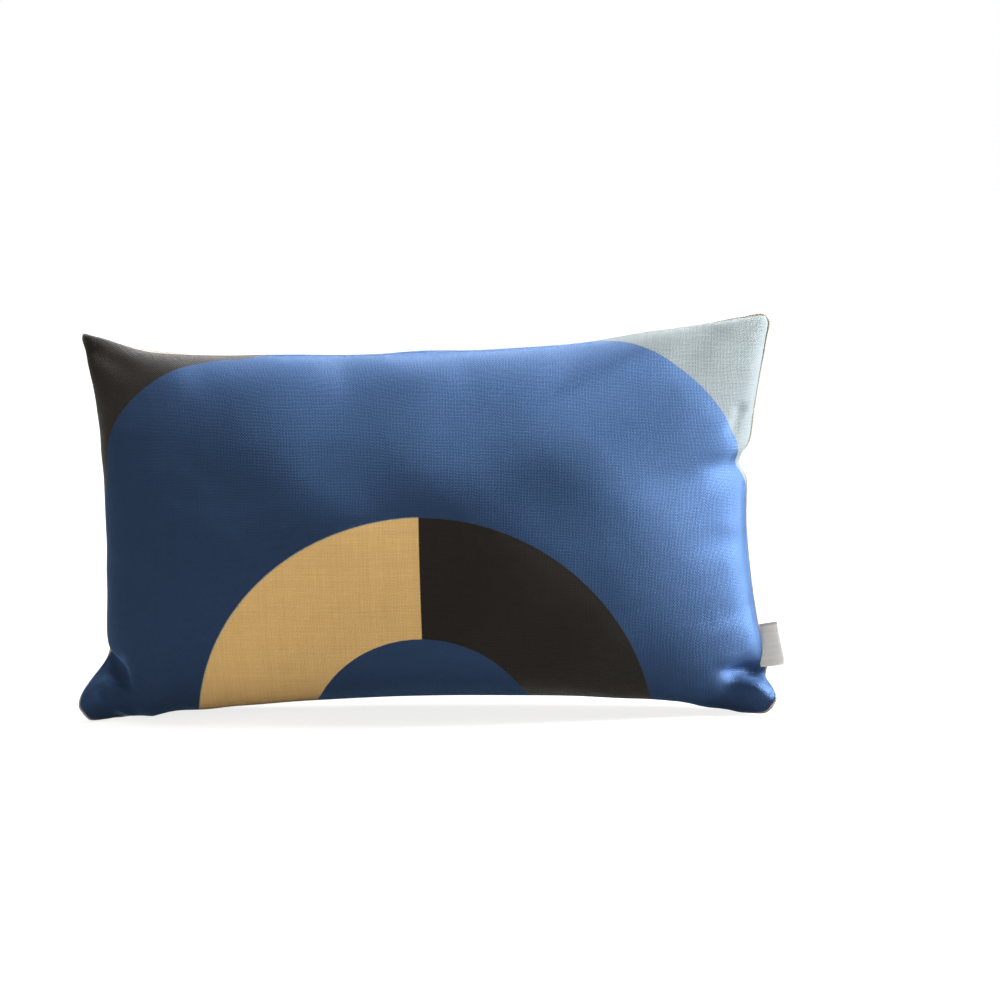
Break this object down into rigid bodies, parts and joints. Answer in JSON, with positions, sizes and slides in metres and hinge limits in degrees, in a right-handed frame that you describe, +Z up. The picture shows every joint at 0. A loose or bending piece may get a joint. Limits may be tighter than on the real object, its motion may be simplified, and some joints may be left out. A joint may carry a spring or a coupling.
{
  "type": "lumbar support cushion",
  "caption": "Oblong padded cushion with a printed front, a plain back, a concealed zip in the bottom seam and a fibre filled insert, standing on its long edge.",
  "frame": {"origin": "middle of the flat base that the cushion stands on", "axes": "+X along the cushion's width, +Z up, and the printed front faces -Y; the cushion leans back towards +Y"},
  "size_m": [0.5048, 0.1249, 0.282],
  "materials": {
    "printed_fabric": "matte woven linen look, printed in blue, gold, charcoal and pale grey",
    "plain_fabric": "matte woven, unprinted off-white",
    "thread": "spun polyester thread",
    "zip_tape": "fine woven tape",
    "zip_coil": "semi gloss nylon",
    "zip_metal": "plain crimped metal",
    "zip_enamel": "gloss enamel on die cast zinc",
    "label_ribbon": "satin ribbon, blank",
    "insert_casing": "non-woven polypropylene",
    "filling": "hollow polyester fibre"
  },
  "bodies": {
    "cushion": {"cover_front": "printed_fabric", "cover_back": "plain_fabric", "cover_seam_overlock": "thread", "zip_tape_front": "zip_tape", "zip_tape_back": "zip_tape", "zip_coil_front": "zip_coil", "zip_coil_back": "zip_coil", "zip_top_stops": "zip_metal", "zip_bottom_stop": "zip_metal", "side_label": "label_ribbon", "care_label": "label_ribbon", "insert_casing_front": "insert_casing", "insert_casing_back": "insert_casing", "insert_seam_overlock": "thread", "fibre_filling": "filling"},
    "slider": {"zip_slider": "zip_enamel"},
    "pull": {"zip_pull": "zip_enamel"}
  },
  "joints": [
    {"name": "zip_slide", "type": "slide", "parent": "cushion", "child": "slider", "axis": [1, 0, 0], "range_m": [0, 0.334]},
    {"name": "pull_swing", "type": "hinge", "parent": "slider", "child": "pull", "pos_m": [-0.167, -0.02, 0.0111], "axis": [0, 1, 0], "range_deg": [0, 180]}
  ]
}
